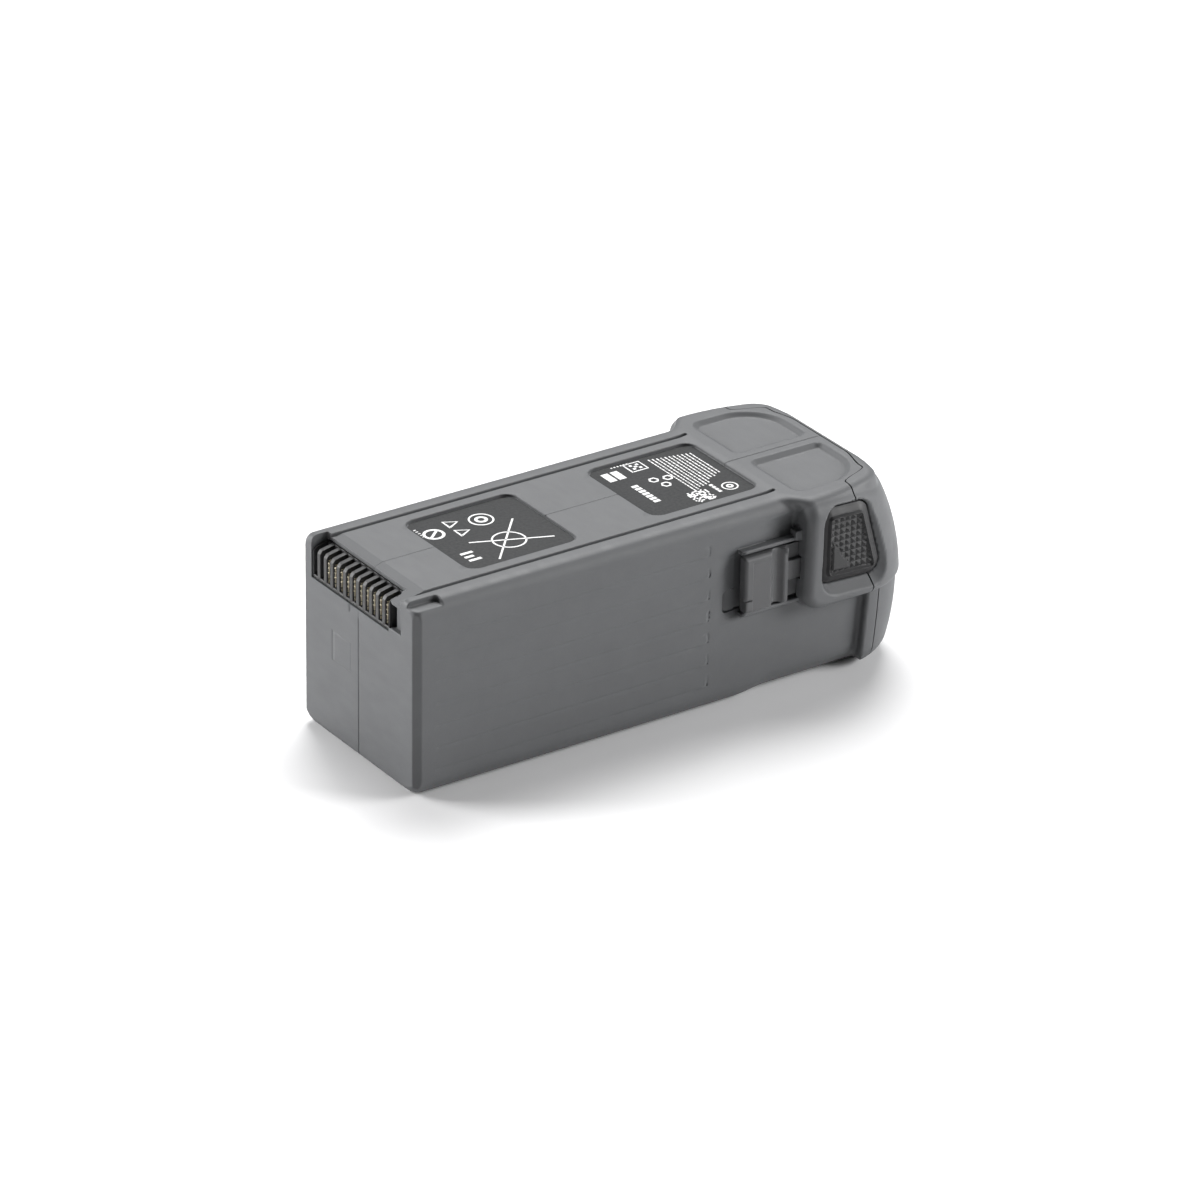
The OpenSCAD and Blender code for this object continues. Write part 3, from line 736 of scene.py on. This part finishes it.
def blade_sheets():
    """One slot's pair of spring leaves, around y = 0."""

    def form(x, y, z):
        ay = np.abs(y)
        leaf = np.maximum(np.maximum(slab(x, 0.75, 4.0), slab(z, 36.0, 41.2)), slab(ay, 0.42, 0.62))
        gaps = np.abs(z - 38.9) - 1.35
        gap = np.abs(np.abs(gaps) - 0.66) - 0.08
        leaf = np.maximum(leaf, -np.maximum(gap, x - 3.2))
        for bump_z in (38.3, 39.4, 40.5):
            tip = np.sqrt((x - 0.85) ** 2 + (ay - 0.46) ** 2 + (z - bump_z) ** 2) - 0.27
            leaf = smin(leaf, tip, 0.06)
        tail = np.maximum(np.maximum(slab(x, 3.4, 10.2), slab(z, 38.0, 39.2)), ay - 0.4)
        return np.minimum(leaf, tail)

    return [form]


def make_blades(name):
    xs = ticks(0.3, 10.6, 0.5, (0.3, 1.5, 0.1), (1.5, 4.2, 0.25))
    ys = ticks(-0.82, 0.82, 0.1)
    zs = ticks(35.8, 41.5, 0.13)
    offsets = [SLOT_FIRST - SLOT_PITCH * i for i in range(2, SLOT_COUNT)]
    return carve(name, blade_sheets(), xs, ys, zs, offsets)


# ---------------------------------------------------------------- the labels
def rect(x0, y0, x1, y1):
    return [(x0, y0), (x1, y0), (x1, y1), (x0, y1)]


def arc(cx, cy, r, start, end, steps=40):
    angles = np.radians(np.linspace(start, end, steps + 1))
    return [(cx + r * math.cos(a), cy + r * math.sin(a)) for a in angles]


def prism(bm, outline, z0, z1, material):
    low = [bm.verts.new(((FRONT + x) * MM, y * MM, z0 * MM)) for x, y in outline]
    high = [bm.verts.new(((FRONT + x) * MM, y * MM, z1 * MM)) for x, y in outline]
    faces = [bm.faces.new(high), bm.faces.new(low[::-1])]
    for i in range(len(outline)):
        j = (i + 1) % len(outline)
        faces.append(bm.faces.new((low[i], low[j], high[j], high[i])))
    for face in faces:
        face.material_index = material


def line(bm, points, width, z0, z1):
    """A printed line of that width along the points, drawn as one flat ribbon."""
    p = np.array(points)
    d = np.gradient(p, axis=0)
    d /= np.linalg.norm(d, axis=1)[:, None]
    side = np.stack([-d[:, 1], d[:, 0]], 1) * width / 2
    ribbon = [tuple(q) for q in p - side] + [tuple(q) for q in (p + side)[::-1]]
    rows = len(p)
    for i in range(rows - 1):
        prism(bm, [ribbon[i], ribbon[i + 1], ribbon[-2 - i], ribbon[-1 - i]], z0, z1, 1)


def label_film(bm, x0):
    """The film in the window that starts at x0, with round corners."""
    r = 2.8
    a, b = x0 + 0.15, x0 + WINDOW_LEN - 0.15
    w = WINDOW_HALF - 0.15
    outline = (
        arc(b - r, -w + r, r, -90, 0, 8) + arc(b - r, w - r, r, 0, 90, 8)
        + arc(a + r, w - r, r, 90, 180, 8) + arc(a + r, -w + r, r, 180, 270, 8))
    prism(bm, outline, LABEL_Z, LABEL_Z + 0.1, 0)


def front_marks(bm, x0, z0, z1):
    """Generic signs: rings, triangles, bars and a crossed ring, with no letters."""

    def sign(points, width):
        line(bm, points, width, z0, z1)

    sign(arc(x0 + 3.6, 6.0, 2.1, 0, 360), 0.65)
    sign([(x0 + 2.3, 4.9), (x0 + 4.9, 7.1)], 0.6)
    for i in range(5):
        prism(bm, rect(x0 + 0.9, 9.6 - 0.9 * i, x0 + 1.5, 9.9 - 0.9 * i), z0, z1, 1)
    for y in (8.4, 3.8):
        sign([(x0 + 8.2, y - 1.5), (x0 + 11.0, y), (x0 + 8.2, y + 1.5), (x0 + 8.2, y - 1.7)], 0.5)
    sign(arc(x0 + 15.8, 6.6, 2.6, 0, 360), 0.4)
    sign(arc(x0 + 15.8, 6.6, 1.1, 0, 360), 0.7)
    sign([(x0 + 7.6, -1.2), (x0 + 24.4, -8.2)], 0.42)
    sign([(x0 + 21.6, 3.4), (x0 + 8.8, -11.0)], 0.42)
    sign(arc(x0 + 15.5, -4.5, 3.6, 0, 360), 0.4)
    for i, length in enumerate((3.0, 2.2, 3.0)):
        prism(bm, rect(x0 + 3.0, -5.4 - 1.7 * i, x0 + 3.0 + length, -4.6 - 1.7 * i), z0, z1, 1)


def rear_marks(bm, x0, z0, z1):
    """Generic rows of small bars, a chequered square and ring signs."""
    chance = np.random.default_rng(7)
    for row in range(11):
        x = x0 + 15.4 + 0.95 * row
        y = 11.4 - 0.2 * row
        while y > -6.4 + 0.5 * row:
            dash = chance.uniform(0.3, 1.2)
            prism(bm, rect(x, y - dash, x + 0.3, y), z0, z1, 1)
            y -= dash + 0.22
    for i in range(12):
        for j in range(12):
            if chance.random() < 0.55:
                x, y = x0 + 12.6 + 0.42 * i, -11.6 + 0.42 * j
                prism(bm, rect(x, y, x + 0.42, y + 0.42), z0, z1, 1)
    a, b = x0 + 9.4, x0 + 13.4
    line(bm, [(a, 8.2), (b, 8.2), (b, 12.0), (a, 12.0), (a, 8.0)], 0.4, z0, z1)
    for i in range(3):
        for j in range(3):
            if (i + j) % 2 == 0:
                x, y = x0 + 10.3 + 0.8 * i, 9.0 + 0.8 * j
                prism(bm, rect(x, y, x + 0.7, y + 0.7), z0, z1, 1)
    for turn in range(3):
        angle = math.radians(120 * turn + 20)
        cx, cy = x0 + 12.4 + 1.9 * math.cos(angle), 1.4 + 1.9 * math.sin(angle)
        line(bm, arc(cx, cy, 1.0, 0, 360, 6), 0.45, z0, z1)
    for i in range(2):
        prism(bm, rect(x0 + 2.6 + 2.4 * i, 6.6, x0 + 4.4 + 2.4 * i, 10.6), z0, z1, 1)
    for i in range(7):
        y = 2.6 - 1.35 * i
        prism(bm, rect(x0 + 5.0, y - 0.95, x0 + 6.6, y), z0, z1, 1)
    for i in range(6):
        prism(bm, rect(x0 + 6.4 + 0.8 * i, 12.0, x0 + 6.8 + 0.8 * i, 12.4), z0, z1, 1)
    line(bm, arc(x0 + 23.0, -8.4, 1.7, 0, 360), 0.32, z0, z1)
    line(bm, arc(x0 + 23.0, -8.4, 0.6, 0, 360, 16), 0.5, z0, z1)
    for i in range(4):
        prism(bm, rect(x0 + 19.4, -6.4 - 1.1 * i, x0 + 20.2, -5.6 - 1.1 * i), z0, z1, 1)


def make_label(name, x0, marks):
    bm = bmesh.new()
    label_film(bm, x0)
    marks(bm, x0, LABEL_Z + 0.1, LABEL_Z + 0.12)
    mesh = bpy.data.meshes.new(name)
    bm.to_mesh(mesh)
    bm.free()
    return link(name, mesh)


# ---------------------------------------------------------------- the power button and its lights
def key_sheets():
    def form(x, y, z):
        r = np.sqrt(y * y + (z - KEY_Z) ** 2)
        crown = x - 127.6 + 0.5 * ramp(0.0, KEY_R, r) ** 2
        ring = np.maximum(np.abs(r - 3.3) - 0.28, 127.15 - x)
        bar = np.maximum(np.maximum(np.abs(y) - 0.25, np.abs(z - KEY_Z - 1.1) - 0.9), 127.15 - x)
        stem = smax(smax(r - KEY_R, crown, 0.35), 123.0 - x, 0.2)
        stem = smax(stem, -np.minimum(ring, bar), 0.08)
        flange = smax(r - 5.75, slab(x, 123.0, 124.0), 0.2)
        post = np.maximum(r - 1.2, slab(x, 120.3, 123.4))
        return np.minimum(np.minimum(stem, flange), post)

    return [form]


def make_key(name):
    xs = ticks(120.0, 128.0, 0.4, (126.8, 128.0, 0.12))
    ys = ticks(-6.2, 6.2, 0.17)
    return carve(name, key_sheets(), xs, ys, ys + KEY_Z)


def light_sheets():
    def form(x, y, z):
        pins = np.minimum.reduce([np.sqrt((y - p) ** 2 + (z - PIN_Z) ** 2) - PIN_R for p in PIN_Y])
        pins = smax(pins, slab(x, 119.6, 127.4), 0.25)
        bar = smax(np.maximum(np.abs(y) - 7.3, np.abs(z - PIN_Z) - 1.15), slab(x, 119.5, 121.0), 0.25)
        return np.minimum(pins, bar)

    return [form]


def make_lights(name):
    xs = ticks(119.2, 127.8, 0.4, (126.8, 127.8, 0.15))
    return carve(name, light_sheets(), xs, ticks(-7.7, 7.7, 0.18), ticks(11.5, 14.5, 0.18))


# ---------------------------------------------------------------- materials
class Nodes:
    """Short names for building one procedural material."""

    def __init__(self, name):
        self.material = bpy.data.materials.new(name)
        self.material.use_nodes = True
        self.tree = self.material.node_tree
        self.shader = self.tree.nodes["Principled BSDF"]
        self.place = self.tree.nodes.new("ShaderNodeTexCoord").outputs["Object"]

    def node(self, kind, **settings):
        made = self.tree.nodes.new(kind)
        for key, value in settings.items():
            setattr(made, key, value)
        return made

    def join(self, a, b):
        self.tree.links.new(a, b)

    def noise(self, size, detail=2.0, stretch=None):
        """Noise whose features are about size millimetres wide."""
        made = self.node("ShaderNodeTexNoise")
        made.inputs["Scale"].default_value = 1.0 / (size * MM)
        made.inputs["Detail"].default_value = detail
        place = self.place
        if stretch:
            mapping = self.node("ShaderNodeMapping")
            mapping.inputs["Scale"].default_value = stretch
            self.join(place, mapping.inputs["Vector"])
            place = mapping.outputs["Vector"]
        self.join(place, made.inputs["Vector"])
        return made.outputs["Fac"]

    def cells(self, size):
        made = self.node("ShaderNodeTexVoronoi", feature="F1")
        made.inputs["Scale"].default_value = 1.0 / (size * MM)
        self.join(self.place, made.inputs["Vector"])
        return made.outputs["Distance"]

    def remap(self, value, low, high, to_low, to_high):
        made = self.node("ShaderNodeMapRange")
        ends = {"From Min": low, "From Max": high, "To Min": to_low, "To Max": to_high}
        for key, number in ends.items():
            made.inputs[key].default_value = number
        self.join(value, made.inputs["Value"])
        return made.outputs["Result"]

    def maths(self, kind, a, b):
        made = self.node("ShaderNodeMath", operation=kind)
        for socket, value in zip(made.inputs, (a, b)):
            if isinstance(value, float):
                socket.default_value = value
            else:
                self.join(value, socket)
        return made.outputs["Value"]

    def colour(self, fac, dark, light):
        made = self.node("ShaderNodeMix", data_type="RGBA")
        sockets = [s for s in made.inputs if s.name in "AB" and s.type == "RGBA"]
        sockets[0].default_value = (*dark, 1.0)
        sockets[1].default_value = (*light, 1.0)
        self.join(fac, made.inputs["Factor"])
        return [s for s in made.outputs if s.type == "RGBA"][0]

    def bump(self, height, depth):
        """Relief of depth millimetres, chained onto any earlier one."""
        made = self.node("ShaderNodeBump")
        made.inputs["Distance"].default_value = depth * MM
        made.inputs["Strength"].default_value = 1.0
        self.join(height, made.inputs["Height"])
        if self.shader.inputs["Normal"].links:
            self.join(self.shader.inputs["Normal"].links[0].from_socket, made.inputs["Normal"])
        self.join(made.outputs["Normal"], self.shader.inputs["Normal"])

    def set(self, socket, value):
        self.shader.inputs[socket].default_value = value


def shade(rgb, factor):
    return tuple(min(1.0, c * factor) for c in rgb)


def moulded(name, rgb, rough=0.52, grain=0.16, relief=0.012):
    """Spark-textured moulded plastic with faint handling marks."""
    contrast = 0.07
    smears = 0.05
    n = Nodes(name)
    fine = n.noise(grain, 3.0)
    pits = n.cells(grain * 1.6)
    cloud = n.noise(9.0, 3.0)
    smear = n.noise(2.4, 4.0, (1.0, 0.35, 1.0))
    tone = n.maths("ADD", n.remap(fine, 0.3, 0.7, 0.0, 0.6), n.remap(cloud, 0.3, 0.7, 0.0, 0.4))
    mixed = n.colour(tone, shade(rgb, 1 - contrast), shade(rgb, 1 + contrast))
    n.join(mixed, n.shader.inputs["Base Color"])
    worn = n.maths("ADD", n.remap(smear, 0.35, 0.75, rough + smears, rough - smears),
                   n.remap(fine, 0.3, 0.7, -0.04, 0.04))
    n.join(worn, n.shader.inputs["Roughness"])
    n.bump(fine, relief)
    n.bump(pits, relief * 0.8)
    n.bump(cloud, 0.02)
    n.set("IOR", 1.48)
    n.set("Specular IOR Level", 0.42)
    return n.material


def metal(name, rgb, rough):
    """Bare metal, faintly brushed and stained."""
    contrast = 0.12
    n = Nodes(name)
    lines = n.noise(0.8, 4.0, (1.0, 1.0, 12.0))
    stain = n.noise(3.0, 3.0)
    mixed = n.colour(stain, shade(rgb, 1 - contrast), shade(rgb, 1 + contrast))
    n.join(mixed, n.shader.inputs["Base Color"])
    n.join(n.remap(lines, 0.3, 0.7, rough - 0.08, rough + 0.12), n.shader.inputs["Roughness"])
    n.bump(lines, 0.004)
    n.set("Metallic", 1.0)
    return n.material


def printed_film(name, rgb, rough):
    """Thin plastic film with the orange peel of a lacquered print."""
    n = Nodes(name)
    peel = n.noise(0.7, 2.0)
    dust = n.noise(0.12, 2.0)
    n.join(n.colour(n.remap(dust, 0.35, 0.7, 0.0, 1.0), shade(rgb, 0.9), shade(rgb, 1.12)),
           n.shader.inputs["Base Color"])
    n.join(n.remap(peel, 0.3, 0.7, rough - 0.07, rough + 0.07), n.shader.inputs["Roughness"])
    n.bump(peel, 0.006)
    n.bump(dust, 0.003)
    n.set("Specular IOR Level", 0.22)
    return n.material


def foil(name, rgb):
    """Crinkled aluminium laminate of a pouch cell."""
    n = Nodes(name)
    crinkle = n.noise(3.2, 5.0)
    fold = n.noise(14.0, 3.0, (1.0, 0.3, 1.0))
    n.join(n.colour(crinkle, shade(rgb, 0.85), shade(rgb, 1.08)), n.shader.inputs["Base Color"])
    n.join(n.remap(crinkle, 0.3, 0.7, 0.28, 0.46), n.shader.inputs["Roughness"])
    n.bump(crinkle, 0.08)
    n.bump(fold, 0.2)
    n.set("Metallic", 0.85)
    return n.material


def foam_pad(name, rgb):
    """Open-pored foam."""
    n = Nodes(name)
    pores = n.cells(0.35)
    n.join(n.colour(n.remap(pores, 0.0, 0.7, 0.0, 1.0), shade(rgb, 0.6), shade(rgb, 1.1)),
           n.shader.inputs["Base Color"])
    n.join(n.remap(pores, 0.0, 0.7, 0.98, 0.82), n.shader.inputs["Roughness"])
    n.bump(pores, 0.12)
    return n.material


def solder_mask(name, rgb, copper):
    """Circuit board: mask over faint copper tracks."""
    n = Nodes(name)
    weave = n.noise(0.25, 2.0)
    bricks = n.node("ShaderNodeTexBrick")
    bricks.inputs["Scale"].default_value = 1.0 / (2.4 * MM)
    bricks.inputs["Mortar Size"].default_value = 0.05
    n.join(n.place, bricks.inputs["Vector"])
    n.join(n.colour(bricks.outputs["Fac"], rgb, copper), n.shader.inputs["Base Color"])
    n.join(n.remap(weave, 0.3, 0.7, 0.3, 0.42), n.shader.inputs["Roughness"])
    n.bump(bricks.outputs["Fac"], 0.02)
    n.bump(weave, 0.008)
    return n.material


def clear_plastic(name, rgb):
    """Milky light guide."""
    n = Nodes(name)
    flow = n.noise(1.4, 3.0)
    n.join(n.colour(flow, shade(rgb, 0.88), shade(rgb, 1.05)), n.shader.inputs["Base Color"])
    n.join(n.remap(flow, 0.3, 0.7, 0.18, 0.34), n.shader.inputs["Roughness"])
    n.bump(flow, 0.006)
    n.set("Subsurface Weight", 0.25)
    n.set("Subsurface Scale", 1.0 * MM)
    return n.material


def make_materials():
    grey = (0.104, 0.107, 0.111)
    return {
        "case_plastic": moulded("case_plastic", grey),
        "cap_plastic": moulded("cap_plastic", shade(grey, 1.04)),
        "contact_plastic": moulded("contact_plastic", (0.034, 0.034, 0.035), 0.46, 0.12, 0.006),
        "contact_metal": metal("contact_metal", (0.72, 0.66, 0.52), 0.36),
        "label_film": printed_film("label_film", (0.022, 0.023, 0.024), 0.5),
        "label_ink": printed_film("label_ink", (0.8, 0.8, 0.8), 0.5),
        "button_plastic": moulded("button_plastic", (0.031, 0.031, 0.032), 0.5, 0.13, 0.008),
        "latch_plastic": moulded("latch_plastic", (0.085, 0.086, 0.089), 0.48, 0.15, 0.008),
        "spring_steel": metal("spring_steel", (0.62, 0.62, 0.63), 0.22),
        "key_plastic": moulded("key_plastic", (0.12, 0.122, 0.126), 0.42, 0.12, 0.006),
        "light_plastic": clear_plastic("light_plastic", (0.75, 0.77, 0.76)),
        "pouch_foil": foil("pouch_foil", (0.66, 0.67, 0.69)),
        "nickel": metal("nickel", (0.66, 0.63, 0.58), 0.28),
        "foam": foam_pad("foam", (0.1, 0.1, 0.105)),
        "insulation_film": printed_film("insulation_film", (0.05, 0.13, 0.3), 0.34),
        "circuit_board": solder_mask("circuit_board", (0.01, 0.05, 0.03), (0.03, 0.13, 0.07)),
        "chip_plastic": moulded("chip_plastic", (0.02, 0.02, 0.021), 0.42, 0.1, 0.004),
        "resistor_metal": metal("resistor_metal", (0.5, 0.5, 0.52), 0.34),
        "screw_steel": metal("screw_steel", (0.42, 0.42, 0.43), 0.3),
        "frame_plastic": moulded("frame_plastic", (0.03, 0.03, 0.032), 0.5, 0.14, 0.008),
        "ribbon_film": printed_film("ribbon_film", (0.42, 0.2, 0.05), 0.34),
    }


# ---------------------------------------------------------------- putting it together
def place(piece, body, slot, nodes, materials, extra=()):
    for key in (slot, *extra):
        piece.data.materials.append(materials[key])
    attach(piece, body)
    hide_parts(*nodes)


def make_pieces(materials):
    for side, word in ((1, "left"), (-1, "right")):
        release = word + "_release"
        place(make_shell(word + "_shell_skin", side), "pack", "case_plastic", [word + "_shell"], materials)
        place(make_button(word + "_grip", side), release, "button_plastic", [word + "_button"], materials)
        place(make_latch(word + "_hook", side), release, "latch_plastic", [word + "_latch"], materials)
        node = word + "_spring"
        spring = make_spring(word + "_coil", node)
        place(spring, "pack", "spring_steel", [node], materials)
        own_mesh(spring)
    place(make_cap("cap_skin"), "pack", "cap_plastic", ["end_cap"], materials)
    place(make_housing("contact_block"), "pack", "contact_plastic", ["contact_housing"], materials)
    place(make_blades("contact_leaves"), "pack", "contact_metal", ["contact_blades"], materials)
    for word, x0, marks in (("front", WINDOWS[0], front_marks), ("rear", WINDOWS[1], rear_marks)):
        label = make_label(word + "_film", x0, marks)
        place(label, "pack", "label_film", [word + "_label"], materials, ["label_ink"])
    place(make_key("power_key_top"), "power_key", "key_plastic", ["power_button"], materials)
    place(make_lights("light_pins"), "pack", "light_plastic", ["light_guide"], materials)


def colour_cad_nodes(materials):
    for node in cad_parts.values():
        for index, old in enumerate(node.data.materials):
            node.data.materials[index] = materials[old.name.split(".")[0]]


# ---------------------------------------------------------------- stage, camera and light
def make_floor():
    bm = bmesh.new()
    bmesh.ops.create_grid(bm, x_segments=1, y_segments=1, size=FLOOR_HALF)
    mesh = bpy.data.meshes.new("floor")
    bm.to_mesh(mesh)
    bm.free()
    floor = link("floor", mesh)
    floor.location.z = -0.0001
    n = Nodes("floor_paint")
    cloud = n.noise(60.0, 2.0)
    n.join(n.colour(cloud, (0.86, 0.86, 0.865), (0.88, 0.88, 0.885)), n.shader.inputs["Base Color"])
    n.set("Roughness", 0.6)
    n.set("Specular IOR Level", 0.3)
    mesh.materials.append(n.material)


def make_camera():
    heading, tilt, roll = (math.radians(a) for a in CAMERA_ANGLES)
    level = math.cos(tilt)
    ahead = Vector((math.sin(heading) * level, math.cos(heading) * level, -math.sin(tilt)))
    right = Vector((math.cos(heading), -math.sin(heading), 0.0))
    up = right.cross(ahead)
    right, up = (
        math.cos(roll) * right + math.sin(roll) * up,
        math.cos(roll) * up - math.sin(roll) * right)
    data = bpy.data.cameras.new("camera")
    data.lens = CAMERA_LENS
    data.sensor_width = 36.0
    data.clip_start, data.clip_end = 0.05, 20.0
    camera = bpy.data.objects.new("camera", data)
    bpy.context.scene.collection.objects.link(camera)
    turn = Matrix((right, up, -ahead)).transposed().to_4x4()
    camera.matrix_world = Matrix.Translation(CAMERA_PLACE) @ turn
    bpy.context.scene.camera = camera


def make_lamp(name, direction, size, power):
    """A square soft box that faces the part from that direction."""
    data = bpy.data.lights.new(name, "AREA")
    data.shape = "RECTANGLE"
    data.size = size
    data.size_y = size
    data.energy = power
    lamp = bpy.data.objects.new(name, data)
    bpy.context.scene.collection.objects.link(lamp)
    way = Vector(direction).normalized()
    lamp.location = way * LAMP_DISTANCE
    lamp.rotation_mode = "QUATERNION"
    lamp.rotation_quaternion = way.to_track_quat("Z", "Y")


def make_light():
    """Three soft boxes and a dim sky, with a plain white backdrop for the camera alone."""
    for lamp in LAMPS:
        make_lamp(*lamp)
    world = bpy.data.worlds.new("studio")
    world.use_nodes = True
    nodes, links = world.node_tree.nodes, world.node_tree.links
    dim = nodes["Background"]
    dim.inputs["Color"].default_value = (1.0, 1.0, 1.0, 1.0)
    dim.inputs["Strength"].default_value = AMBIENT
    bright = nodes.new("ShaderNodeBackground")
    bright.inputs["Color"].default_value = (1.0, 1.0, 1.0, 1.0)
    path = nodes.new("ShaderNodeLightPath")
    mix = nodes.new("ShaderNodeMixShader")
    links.new(path.outputs["Is Camera Ray"], mix.inputs["Fac"])
    links.new(dim.outputs["Background"], mix.inputs[1])
    links.new(bright.outputs["Background"], mix.inputs[2])
    links.new(mix.outputs["Shader"], nodes["World Output"].inputs["Surface"])
    bpy.context.scene.world = world
    bpy.context.scene.view_settings.view_transform = "Standard"


all_materials = make_materials()
make_pieces(all_materials)
colour_cad_nodes(all_materials)
make_floor()
make_camera()
make_light()
